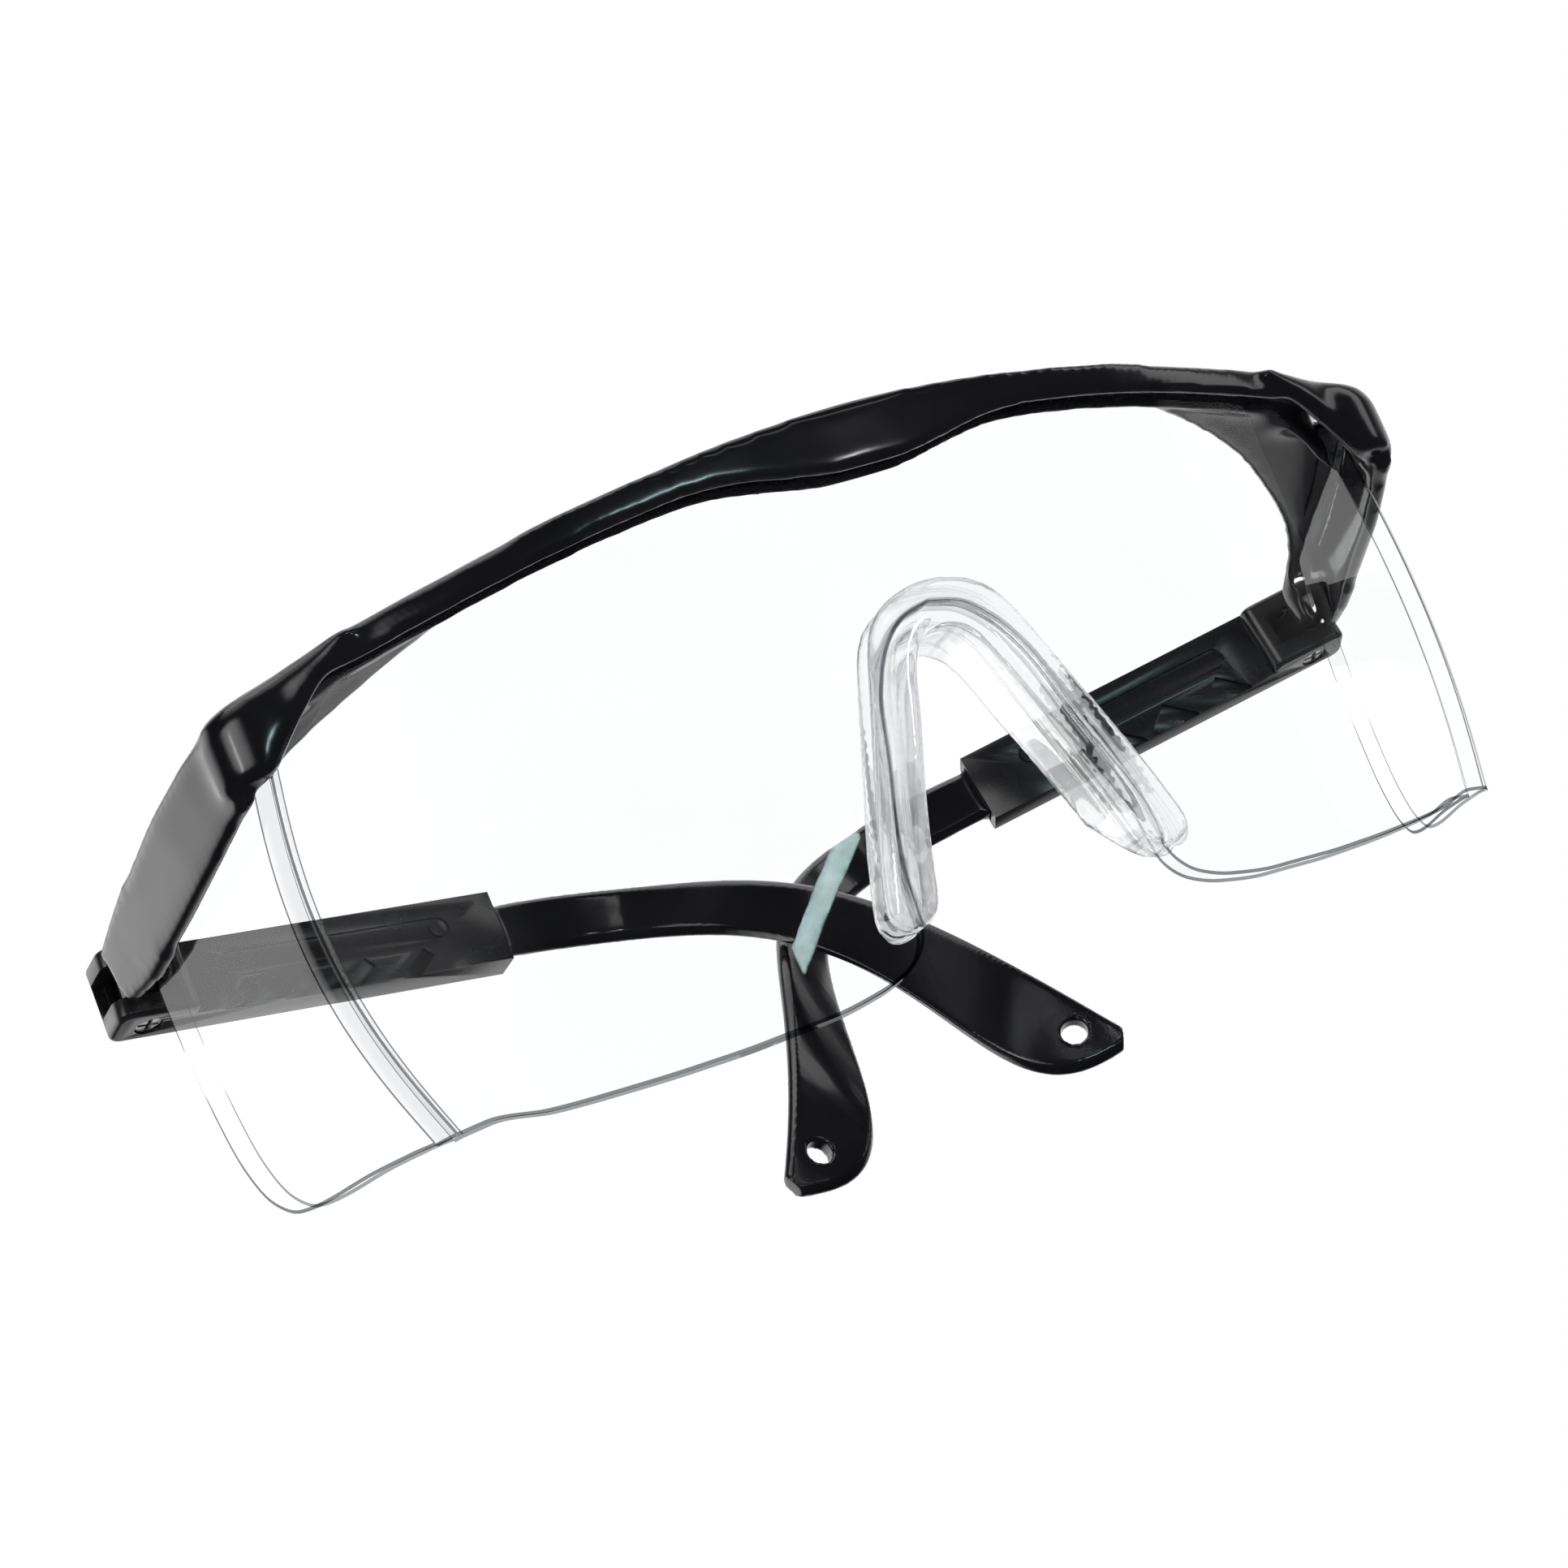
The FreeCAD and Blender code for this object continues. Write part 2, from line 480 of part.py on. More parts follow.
box = Part.makeCompound(list(nodes.values())).optimalBoundingBox(False, False)
shift = V(-(box.XMin + box.XMax) / 2, -(box.YMin + box.YMax) / 2, -box.ZMin)
for name, shape in nodes.items():
    shape.translate(shift)
    if shape.ShapeType != "Solid":
        shape = shape.Solids[0]
    shape.exportStep("parts/%s.step" % name)
    b = shape.optimalBoundingBox(False, False)
    print("%-22s vol %8.1f valid %s  x %.1f..%.1f  y %.1f..%.1f  z %.1f..%.1f" % (
        name, shape.Volume, shape.isValid(), b.XMin, b.XMax, b.YMin, b.YMax, b.ZMin, b.ZMax))
print("shift", tuple(round(c, 4) for c in shift))
print("size", round(box.XLength, 2), round(box.YLength, 2), round(box.ZLength, 2))
for tag, side, fold in (("right", -1, FOLD_R), ("left", 1, FOLD_L)):
    low = place_point(V(0, 0, SLEEVE_LOW), side, fold) + shift
    top = place_point(V(0, 0, SLEEVE_TOP), side, fold) + shift
    run = (place_point(V(10, 0, 0), side, fold) - place_point(V(0, 0, 0), side, fold)).normalize()
    c = place_point(hole_mid - hole_face * (ARM_T1 * 0.5), side, fold) + shift
    d = (place_point(hole_mid, side, fold) - place_point(hole_mid + hole_face, side, fold)).normalize()
    fmt = [tuple(round(k, 5) for k in w) for w in (low, (top - low).normalize(), run, c, d)]
    print(tag, "hinge point", fmt[0], "axis", fmt[1], "slide axis", fmt[2], "hole", fmt[3], "hole axis", fmt[4])
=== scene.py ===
import bpy
import bmesh
import math
from mathutils import Vector, Matrix

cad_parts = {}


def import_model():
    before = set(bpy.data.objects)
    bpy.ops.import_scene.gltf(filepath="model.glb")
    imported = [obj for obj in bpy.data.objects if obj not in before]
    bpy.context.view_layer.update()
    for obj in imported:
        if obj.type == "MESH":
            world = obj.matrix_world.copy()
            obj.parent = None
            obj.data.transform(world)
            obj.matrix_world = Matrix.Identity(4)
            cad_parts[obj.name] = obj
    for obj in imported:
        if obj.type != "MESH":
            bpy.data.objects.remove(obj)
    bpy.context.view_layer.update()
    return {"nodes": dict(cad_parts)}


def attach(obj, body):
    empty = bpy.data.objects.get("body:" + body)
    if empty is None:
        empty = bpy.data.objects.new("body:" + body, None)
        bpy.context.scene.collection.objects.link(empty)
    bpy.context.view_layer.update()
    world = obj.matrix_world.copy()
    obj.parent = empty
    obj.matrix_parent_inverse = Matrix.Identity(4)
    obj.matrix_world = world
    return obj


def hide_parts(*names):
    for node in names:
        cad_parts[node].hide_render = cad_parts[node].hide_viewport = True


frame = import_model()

# Safety glasses. Meshes are worked out in millimetres, and MM turns them into metres.
# The studio (camera, lights, floor) is in metres.
MM = 0.001
TILT = math.radians(10.0)       # the front pieces lean back by this much

# The front pieces are drawn in an upright frame. ORIGIN is its origin in the row frame, in mm.
ORIGIN = Vector((-0.0346, -18.938, 47.9118))


# ------------------------------------------------------------------ numbers
def pchip(points):
    """Shape-keeping cubic through (x, y) points, as a function of x."""
    n = len(points)
    h = [points[i + 1][0] - points[i][0] for i in range(n - 1)]
    d = [(points[i + 1][1] - points[i][1]) / h[i] for i in range(n - 1)]
    m = [d[0]] + [0.0] * (n - 2) + [d[-1]]
    for i in range(1, n - 1):
        if d[i - 1] * d[i] > 0:
            w1, w2 = 2 * h[i] + h[i - 1], h[i] + 2 * h[i - 1]
            m[i] = (w1 + w2) / (w1 / d[i - 1] + w2 / d[i])

    def value(x):
        x = min(max(x, points[0][0]), points[-1][0])
        i = 0
        while i < n - 2 and x > points[i + 1][0]:
            i += 1
        t = (x - points[i][0]) / h[i]
        a, b = points[i][1], points[i + 1][1]
        return ((1 + 2 * t) * (1 - t) ** 2 * a + t * (1 - t) ** 2 * h[i] * m[i]
                + t * t * (3 - 2 * t) * b + t * t * (t - 1) * h[i] * m[i + 1])
    return value


def clamped(value):
    """The value, kept between 0 and 1."""
    return min(max(value, 0.0), 1.0)


def leaned(v):
    """Upright front frame (mm) to row frame (m)."""
    c, s = math.cos(TILT), math.sin(TILT)
    return (Vector((v[0], v[1] * c - v[2] * s, v[1] * s + v[2] * c)) + ORIGIN) * MM


def upright(v):
    """Row frame (m) to upright front frame (mm)."""
    c, s = math.cos(TILT), math.sin(TILT)
    v = Vector(v) / MM - ORIGIN
    return Vector((v.x, v.y * c + v.z * s, -v.y * s + v.z * c))


# ------------------------------------------------------------------ pieces
SMOOTH_STEP = 0.5                       # share of the way to the neighbours' mean in a round
RELAX_STEP = 0.6                        # the same for a vertex of full weight, in a round of relax
WELD = 0.004                            # mm between vertices that count as one
FLAT = math.radians(1.0)                # faces that turn less than this are one face
BEVEL_FROM = math.radians(35.0)         # edges that turn more than this are rounded off
SHARP_FROM = math.radians(28.0)         # edges that turn more than this shade as sharp
BEVEL_SEGMENTS = 3


def add_piece(name, mesh, body, slot, materials, *nodes):
    """Puts a mesh in the scene as a piece that rides on a body and stands for CAD nodes."""
    obj = bpy.data.objects.new(name, mesh)
    bpy.context.scene.collection.objects.link(obj)
    for m in materials:
        mesh.materials.append(m)
    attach(obj, body)
    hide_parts(*nodes)


def baked(mesh, *modifiers):
    """The mesh with modifiers (type, settings) applied. Their lengths are in mm."""
    mesh.transform(Matrix.Scale(1 / MM, 4))
    tmp = bpy.data.objects.new("tmp", mesh)
    bpy.context.scene.collection.objects.link(tmp)
    for kind, settings in modifiers:
        mod = tmp.modifiers.new(kind, kind)
        for key, value in settings.items():
            setattr(mod, key, value)
    dg = bpy.context.evaluated_depsgraph_get()
    out = bpy.data.meshes.new_from_object(tmp.evaluated_get(dg))
    bpy.data.objects.remove(tmp)
    out.transform(Matrix.Scale(MM, 4))
    return out


def smooth_all(mesh):
    for p in mesh.polygons:
        p.use_smooth = True


def bare_copy(node):
    """Copy of a CAD node's mesh without its materials."""
    mesh = frame["nodes"][node].data.copy()
    mesh.materials.clear()
    return mesh


def relax(mesh, weight, rounds):
    """Moves each vertex towards its neighbours' mean, by weight(upright position), 0 to 1."""
    bm = bmesh.new()
    bm.from_mesh(mesh)
    weighted = [(v, weight(upright(v.co))) for v in bm.verts]
    chosen = [(v, w, [e.other_vert(v) for e in v.link_edges]) for v, w in weighted if w > 0]
    for _ in range(rounds):
        moved = []
        for v, w, near in chosen:
            mean = Vector((0, 0, 0))
            for other in near:
                mean += other.co
            moved.append(v.co.lerp(mean / len(near), RELAX_STEP * w))
        for (v, _w, _near), co in zip(chosen, moved):
            v.co = co
    bm.to_mesh(mesh)
    bm.free()


def moulded(node, voxel, rounds):
    """Soft-edged moulding: an even skin over the node's form with every edge rounded off."""
    mesh = baked(bare_copy(node), ("REMESH", {"mode": "VOXEL", "voxel_size": voxel}),
                 ("SMOOTH", {"factor": SMOOTH_STEP, "iterations": rounds}))
    smooth_all(mesh)
    return mesh


def crisp(node, radius):
    """Clean flat-sided form with small rounded edges."""
    mesh = bare_copy(node)
    bm = bmesh.new()
    bm.from_mesh(mesh)
    bmesh.ops.remove_doubles(bm, verts=bm.verts, dist=WELD * MM)
    bmesh.ops.dissolve_limit(bm, angle_limit=FLAT, verts=bm.verts, edges=bm.edges)
    bm.to_mesh(mesh)
    bm.free()
    mesh = baked(mesh, ("BEVEL", {"width": radius, "segments": BEVEL_SEGMENTS, "limit_method": "ANGLE",
                                  "angle_limit": BEVEL_FROM, "harden_normals": True}))
    smooth_all(mesh)
    mesh.set_sharp_from_angle(angle=SHARP_FROM)
    return mesh


# ------------------------------------------------------------------ materials
NYLON_IOR, POLYCARBONATE_IOR, SOFT_PLASTIC_IOR = 1.5, 1.58, 1.4
GRAIN_DEPTH = 0.00003                   # m
GLANCE_BLEND = 0.35                     # how early a clear sheet starts to look edge-on
HAZE = 0.995                            # light let through in the dimmer patches of a clear sheet
MIX_FACTOR, MIX_FIRST, MIX_SECOND, MIX_RESULT = 0, 6, 7, 2      # sockets of a colour mix node


def new_material(name):
    """A new material, its node tree and its main shader."""
    mat = bpy.data.materials.new(name)
    mat.use_nodes = True
    nt = mat.node_tree
    return mat, nt, nt.nodes["Principled BSDF"]


def feed(nt, value, socket):
    """Sets the socket to a number, or links it to another socket."""
    if isinstance(value, (int, float)):
        socket.default_value = value
    else:
        nt.links.new(value, socket)


def math_node(nt, operation, first, second):
    """Result of a math operation on two numbers or sockets."""
    node = nt.nodes.new("ShaderNodeMath")
    node.operation = operation
    feed(nt, first, node.inputs[0])
    feed(nt, second, node.inputs[1])
    return node.outputs[0]


def mixed(nt, share, first, second):
    """Two shaders mixed, with this share (a number or a socket) of the second."""
    node = nt.nodes.new("ShaderNodeMixShader")
    feed(nt, share, node.inputs["Fac"])
    nt.links.new(first, node.inputs[1])
    nt.links.new(second, node.inputs[2])
    return node.outputs["Shader"]


def noise(nt, scale, detail=4.0):
    """Noise in the piece's own coordinates, 0 to 1."""
    coord = nt.nodes.get("Coord") or nt.nodes.new("ShaderNodeTexCoord")
    coord.name = "Coord"
    tex = nt.nodes.new("ShaderNodeTexNoise")
    tex.inputs["Scale"].default_value = scale
    tex.inputs["Detail"].default_value = detail
    nt.links.new(coord.outputs["Object"], tex.inputs["Vector"])
    return tex.outputs["Fac"]


def ramp(nt, fac, *stops):
    """Colour ramp with stops (position, colour)."""
    node = nt.nodes.new("ShaderNodeValToRGB")
    items = node.color_ramp.elements
    while len(items) < len(stops):
        items.new(0.5)
    for item, (pos, col) in zip(items, stops):
        item.position = pos
        item.color = (*col, 1.0)
    nt.links.new(fac, node.inputs["Fac"])
    return node.outputs["Color"]


def bump(nt, shader, height, strength, distance):
    node = nt.nodes.new("ShaderNodeBump")
    node.inputs["Strength"].default_value = strength
    node.inputs["Distance"].default_value = distance
    nt.links.new(height, node.inputs["Height"])
    nt.links.new(node.outputs["Normal"], shader.inputs["Normal"])


def grey(v):
    return (v, v, v)


def nylon(name, low, high, rough_low, rough_high):
    """Smooth injection-moulded black nylon: faint flow marks, fine scuffs and a very slight grain."""
    mat, nt, p = new_material(name)
    nt.links.new(ramp(nt, noise(nt, 90.0), (0.3, low), (0.7, high)), p.inputs["Base Color"])
    nt.links.new(ramp(nt, noise(nt, 260.0, 6.0), (0.35, grey(rough_low)), (0.75, grey(rough_high))),
                 p.inputs["Roughness"])
    p.inputs["IOR"].default_value = NYLON_IOR
    bump(nt, p, noise(nt, 1500.0, 2.0), 0.05, GRAIN_DEPTH)
    return mat


def sheet_clear(name, tint, edge_tint, mirror, start=0.7, full=1.0):
    """Thin clear polycarbonate sheet: light goes straight through, and it mirrors more at a glance.

    The tint turns into edge_tint from start to full of the way to edge-on. mirror scales the shine."""
    mat, nt, p = new_material(name)
    nt.nodes.remove(p)
    see = nt.nodes.new("ShaderNodeBsdfTransparent")
    facing = nt.nodes.new("ShaderNodeLayerWeight")
    facing.inputs["Blend"].default_value = GLANCE_BLEND
    haze = ramp(nt, noise(nt, 60.0), (0.3, tint), (0.7, tuple(HAZE * c for c in tint)))
    edge = ramp(nt, facing.outputs["Facing"],
                (0.0, grey(0.0)), (start, grey(0.0)), (full, grey(1.0)))
    tone = nt.nodes.new("ShaderNodeMix")
    tone.data_type = "RGBA"
    nt.links.new(edge, tone.inputs[MIX_FACTOR])
    nt.links.new(haze, tone.inputs[MIX_FIRST])
    tone.inputs[MIX_SECOND].default_value = (*edge_tint, 1.0)
    nt.links.new(tone.outputs[MIX_RESULT], see.inputs["Color"])

    # Only the side that faces the eye shines, so that the inside of a bend doesn't mirror fully.
    shine = nt.nodes.new("ShaderNodeBsdfGlossy")
    nt.links.new(ramp(nt, noise(nt, 200.0), (0.3, grey(0.0)), (0.8, grey(0.02))),
                 shine.inputs["Roughness"])
    fresnel = nt.nodes.new("ShaderNodeFresnel")
    fresnel.inputs["IOR"].default_value = POLYCARBONATE_IOR
    geo = nt.nodes.new("ShaderNodeNewGeometry")
    front = math_node(nt, "SUBTRACT", 1.0, geo.outputs["Backfacing"])
    share = math_node(nt, "MULTIPLY", fresnel.outputs["Fac"], front)
    nt.links.new(math_node(nt, "MULTIPLY", share, mirror), shine.inputs["Color"])
    both = nt.nodes.new("ShaderNodeAddShader")
    nt.links.new(see.outputs["BSDF"], both.inputs[0])
    nt.links.new(shine.outputs["BSDF"], both.inputs[1])
    nt.links.new(both.outputs["Shader"], nt.nodes["Material Output"].inputs["Surface"])
    return mat


def thickened(mat, share, ior):
    """Mixes bent light into a sheet material, for a thick clear moulding."""
    nt = mat.node_tree
    out = nt.nodes["Material Output"]
    first = out.inputs["Surface"].links[0].from_socket
    p = nt.nodes.new("ShaderNodeBsdfPrincipled")
    p.inputs["Base Color"].default_value = (0.98, 0.985, 0.99, 1.0)
    p.inputs["Roughness"].default_value = 0.03
    p.inputs["IOR"].default_value = ior
    p.inputs["Transmission Weight"].default_value = 1.0
    nt.links.new(mixed(nt, share, first, p.outputs["BSDF"]), out.inputs["Surface"])
    return mat


def steel():
    """Turned screw steel with fine marks."""
    mat, nt, p = new_material("screw_steel")
    nt.links.new(ramp(nt, noise(nt, 900.0), (0.3, grey(0.42)), (0.7, grey(0.62))),
                 p.inputs["Base Color"])
    nt.links.new(ramp(nt, noise(nt, 2500.0), (0.3, grey(0.2)), (0.7, grey(0.38))),
                 p.inputs["Roughness"])
    p.inputs["Metallic"].default_value = 1.0
    bump(nt, p, noise(nt, 4000.0, 1.0), 0.2, GRAIN_DEPTH)
    return mat


BLACK = nylon("black_nylon", (0.006, 0.006, 0.008), (0.011, 0.011, 0.014), 0.13, 0.17)
SLEEVE_BLACK = nylon("sleeve_nylon", (0.009, 0.009, 0.011), (0.014, 0.014, 0.016), 0.25, 0.29)
# painted light: a lighter grey copy of the nylon for the thin webs, standing in for light shining
# through them
BACKLIT_WEB_NYLON = nylon("thin_web_painted_backlight", (0.022, 0.022, 0.025), (0.03, 0.03, 0.034), 0.2, 0.24)
CLEAR_TINT, CLEAR_EDGE = (0.995, 0.998, 0.998), (0.8, 0.82, 0.83)
CLEAR = sheet_clear("clear_polycarbonate", CLEAR_TINT, CLEAR_EDGE, 0.1)
SHIELD = sheet_clear("clear_side_shield", CLEAR_TINT, CLEAR_EDGE, 0.6)
# painted shade: the grey rim faces, the grey fold band and the dark edge lines stand in for the
# darkening where light bends at the lens's cut edges and at the fold
RIM = sheet_clear("lens_rim_painted_shade", (0.93, 0.935, 0.94), (0.7, 0.71, 0.72), 0.3)
FOLD = sheet_clear("lens_fold_painted_shade", (0.86, 0.86, 0.87), (0.55, 0.56, 0.57), 0.6, 0.4)
EDGE = sheet_clear("lens_edge_painted_shade", (0.24, 0.25, 0.26), (0.1, 0.11, 0.12), 0.1, 0.4)
SOFT = thickened(sheet_clear("clear_soft_plastic", (0.955, 0.96, 0.968), (0.2, 0.21, 0.24),
                             0.8, 0.42, 0.85), 0.6, SOFT_PLASTIC_IOR)
STEEL = steel()


# ------------------------------------------------------------------ lens
ARC_R, SAG = 120.0, 18.8                # the front's arc in plan: radius, depth at the fold
FOLD_HALF = 64.5                        # half the width between the folds, at height 0
DRAFT = 0.0654                          # how much the fold moves out per mm of height
SHIELD_DX = 0.293                       # how much the shield moves out per mm towards the rear
BULGE, BULGE_Z, BULGE_H = 2.6, -19.0, 22.0      # bow of the fold: most, where, half its height
BULGE_POWER = 1.2
SHIELD_REAR, SHIELD_END = 33.0, 33.38   # where the bow has died out, and the shield's last y
BEND_R, LENS_T = 4.0, 2.1               # outer radius of the fold, thickness
LENS_BITE = 2.2                         # how far the lens goes up into the bar
LENS_MID = -20.0                        # height where distances along the plan are taken
BEND_LOW = -40.0                        # the lens's lowest z at the fold
# painted shade: the dark line along the cut edge stands in for light bent at the edge of the sheet
EDGE_STRIP = 0.38                       # width of the dark line along the cut edge
LENS_ROWS = 44
LENS_SHARP = math.radians(50)
LENS_WELD = 0.01
ARC_STEPS, BEND_STEPS, SHIELD_STEPS = 150, 10, 44
ARC_EVEN, ARC_CROWDED, SHIELD_CROWDED = 0.55, 0.45, 1.7         # spacing of the columns
ARC, BEND, SIDE = range(3)              # parts of half the lens: front, fold, shield
CLEAR_SLOT, RIM_SLOT, FOLD_SLOT, EDGE_SLOT, SHIELD_SLOT = range(5)

# Outlines in the upright frame: (x, z) for the front, (y, z) for the shields.
NOTCH = [(0.0, -7.2), (3.2, -8.1), (6.0, -10.6), (8.4, -15.0), (10.5, -22.0), (12.8, -29.0),
         (14.2, -34.5), (14.6, -37.4)]
LOWER = [(15.6, -39.6), (18.2, -41.6), (22.0, -42.7), (28.0, -43.3), (35.0, -43.3), (42.0, -43.0),
         (50.8, -42.2), (56.5, -41.4), (62.0, -40.0), (66.0, -40.0)]
BAR_LOW = [(0, 8.0), (5, 8.2), (9.5, 9.1), (14, 10.0), (19, 10.4), (25, 10.1), (33, 9.4), (40, 8.6),
           (48, 7.6), (56, 6.7), (62.5, 5.9), (70, 5.0)]
SHIELD_LOW = [(-4.0, -40.0), (0.0, -40.0), (6.0, -39.3), (13.5, -38.5), (21.5, -38.0),
              (26.5, -37.2), (29.8, -35.0), (32.0, -31.0), (33.2, -24.0), (33.4, -16.0)]
SHIELD_TOP = [(-4.0, 7.6), (-1.0, 7.4), (3.0, 4.0), (10.0, 2.7), (29.5, -0.9), (31.0, -3.5),
              (32.9, -9.0), (33.4, -16.0)]
front_low, front_top = pchip(NOTCH + LOWER), pchip([(x, z + LENS_BITE) for x, z in BAR_LOW])
shield_low, shield_top = pchip(SHIELD_LOW), pchip(SHIELD_TOP)


def fold_plan(off, z):
    """Plan of half the lens at height z, moved inwards by off.

    Gives the arc's radius, centre y and end angle; the fold's centre x, y, radius and end angle;
    and the shield's x at y 0 and its run outwards per mm."""
    r, cy = ARC_R - off, ARC_R - SAG
    bow = BULGE * max(0.0, 1 - ((z - BULGE_Z) / BULGE_H) ** 2) ** BULGE_POWER
    run = SHIELD_DX - bow / SHIELD_REAR
    n = math.hypot(1.0, run)
    x0 = FOLD_HALF + DRAFT * z + bow - off / n - run * off * run / n
    b = BEND_R - off
    bx = x0 - b * n
    # the fold's centre is on the line x = bx + run y, at the distance r - b from the arc's centre
    qa, qb = 1 + run * run, 2 * (run * bx - cy)
    qc = bx * bx + cy * cy - (r - b) ** 2
    yc = (-qb - math.sqrt(qb * qb - 4 * qa * qc)) / (2 * qa)
    xc = bx + run * yc
    end = math.atan2(xc, cy - yc)
    start = math.atan2(-run, 1.0)
    return r, cy, end, xc, yc, b, start, x0, run


def lens_point(part, t, off, z):
    """Point of half the lens at height z; t runs from 0 to 1 along the part."""
    r, cy, end, xc, yc, b, start, x0, run = fold_plan(off, z)
    if part == ARC:
        a = end * t
        return Vector((r * math.sin(a), cy - r * math.cos(a), z))
    if part == BEND:
        a = (-math.pi / 2 + end) * (1 - t) + start * t
        return Vector((xc + b * math.cos(a), yc + b * math.sin(a), z))
    first = yc + b * math.sin(start)
    y = first + (SHIELD_END - first) * t
    return Vector((x0 + run * y, y, z))


def column_limits(part, t):
    """Lowest and highest z of the lens at this column."""
    if part == BEND:
        return BEND_LOW, front_top(FOLD_HALF)
    v = lens_point(part, t, 0.0, LENS_MID)
    if part == ARC:
        return front_low(v.x), front_top(v.x)
    return shield_low(v.y), shield_top(v.y)


def lens_columns():
    """(part, t) for half the lens, closer together where the outline is steep."""
    steps = [i / ARC_STEPS for i in range(ARC_STEPS + 1)]
    cols = [(ARC, u * (ARC_EVEN + ARC_CROWDED * u)) for u in steps]
    cols += [(BEND, i / BEND_STEPS) for i in range(1, BEND_STEPS)]
    cols += [(SIDE, 1 - (1 - i / SHIELD_STEPS) ** SHIELD_CROWDED) for i in range(SHIELD_STEPS + 1)]
    return cols


def row_heights(cols):
    """z values of every column, with a thin strip of even width along both outlines."""
    ends, place = [], []
    for side, part, t in cols:
        ends.append(column_limits(part, t))
        v = lens_point(part, t, 0.0, LENS_MID)
        place.append(Vector((side * v.x, v.y, 0)))
    out = []
    for i, (low, top) in enumerate(ends):
        a, b = max(i - 1, 0), min(i + 1, len(cols) - 1)
        run = max((place[b] - place[a]).length, 1e-6)
        lift = []
        for k in (0, 1):
            slope = (ends[b][k] - ends[a][k]) / run
            lift.append(min(EDGE_STRIP * math.hypot(1.0, slope), (top - low) / 4))
        first, height = low + lift[0], top - lift[1] - low - lift[0]
        inner = [first + height * f / (LENS_ROWS - 2) for f in range(LENS_ROWS - 1)]
        out.append([low] + inner + [top])
    return out


def lens_mesh():
    """Lens and shields in one sheet: an outer and an inner skin, joined by a rim."""
    half = lens_columns()
    cols = [(-1, p, t) for p, t in half[:0:-1]] + [(1, p, t) for p, t in half]
    heights = row_heights(cols)
    bm = bmesh.new()
    skins = []
    for off in (0.0, LENS_T):
        skin = []
        for (side, part, t), zs in zip(cols, heights):
            points = [lens_point(part, t, off, z) for z in zs]
            skin.append([bm.verts.new(leaned((side * v.x, v.y, v.z))) for v in points])
        skins.append(skin)
    last = len(cols) - 1
    outer, inner = skins
    for skin in skins:
        turn = 1 if skin is outer else -1
        for i in range(last):
            parts = {cols[i][1], cols[i + 1][1]}
            # painted shade: the fold band, the dark lines beside it and the rows along both outlines
            # stand in for light bent in the sheet
            if parts == {BEND}:
                kind = FOLD_SLOT
            elif BEND in parts:
                kind = EDGE_SLOT            # fine lines down both sides of the fold
            else:
                kind = SHIELD_SLOT if SIDE in parts else CLEAR_SLOT
            for j in range(LENS_ROWS):
                quad = [skin[i][j], skin[i + 1][j], skin[i + 1][j + 1], skin[i][j + 1]]
                face = bm.faces.new(quad[::turn])
                face.material_index = EDGE_SLOT if j in (0, LENS_ROWS - 1) else kind
    rim = []
    for i in range(last):
        rim.append([outer[i][0], inner[i][0], inner[i + 1][0], outer[i + 1][0]])
        rim.append([outer[i + 1][-1], inner[i + 1][-1], inner[i][-1], outer[i][-1]])
    for i, turn in ((0, 1), (last, -1)):
        for j in range(LENS_ROWS):
            rim.append([outer[i][j + 1], inner[i][j + 1], inner[i][j], outer[i][j]][::turn])
    # painted shade: the rim faces take the grey that stands in for light bent at the cut edge
    for quad in rim:
        bm.faces.new(quad).material_index = RIM_SLOT
    bmesh.ops.remove_doubles(bm, verts=bm.verts, dist=LENS_WELD * MM)
    bmesh.ops.recalc_face_normals(bm, faces=bm.faces)
    mesh = bpy.data.meshes.new("lens")
    bm.to_mesh(mesh)
    bm.free()
    smooth_all(mesh)
    mesh.set_sharp_from_angle(angle=LENS_SHARP)
    return mesh


add_piece("clear_lens", lens_mesh(), "frame", "clear_lens", (CLEAR, RIM, FOLD, EDGE, SHIELD), "lens")


# ------------------------------------------------------------------ mouldings
# voxel (mm) and smoothing rounds of the even skins, and bevel radii (mm) of the crisp pieces
BROW_SKIN, NOSE_SKIN, ARM_SKIN = (0.35, 6), (0.25, 12), (0.25, 3)
SLEEVE_BEVEL, SCREW_BEVEL = 0.22, 0.08
# rounds of relax, and where they work on the bar: mm in the upright frame, mirrored in x
CAP_ROUNDS, WEB_ROUNDS, BAR_ROUNDS, NOSE_ROUNDS = 60, 30, 16, 14
CAP_FROM_X, CAP_LOW, CAP_TOP, CAP_REAR, CAP_FADE = 54.5, -1.5, 12.0, 3.4, 2.5
WEB_FROM_X, WEB_TO_X, WEB_REACH = 36.0, 73.0, 1.5
ARM_FROM_X, ARM_REAR, ARM_FADE = 65.5, 26.0, 2.0
BAR_TO_X, BAR_FADE = 60.0, 4.0
# the webs' middle plane in the leaned frame (height, fall per mm of x and of y), and their part painted
# lighter, as painted light shining through the thin web
WEB_Z, WEB_FALL_X, WEB_FALL_Y = 11.5, 0.0812, 0.0478
WEB_LIT_FROM_X, WEB_LIT_TO_X, WEB_LIT_REACH, WEB_LIT_FLAT = 38, 73.5, 1.3, 0.8
# hinge bores in the row frame, in mm
HINGE_Y, HINGE_Z, HINGE_UP = 22.76205, 44.51221, 0.99863
HINGE_X_LEAN = ((-74.05032, 0.05234), (73.98109, -0.05234))
BORE_R, BORE_CORE = 1.0, 0.2


def cap_weight(p):
    """Full inside the corner caps, fading out over a few millimetres."""
    inside = min(abs(p.x) - CAP_FROM_X, p.z - CAP_LOW, CAP_TOP - p.z, CAP_REAR - p.y)
    return clamped(inside / CAP_FADE)


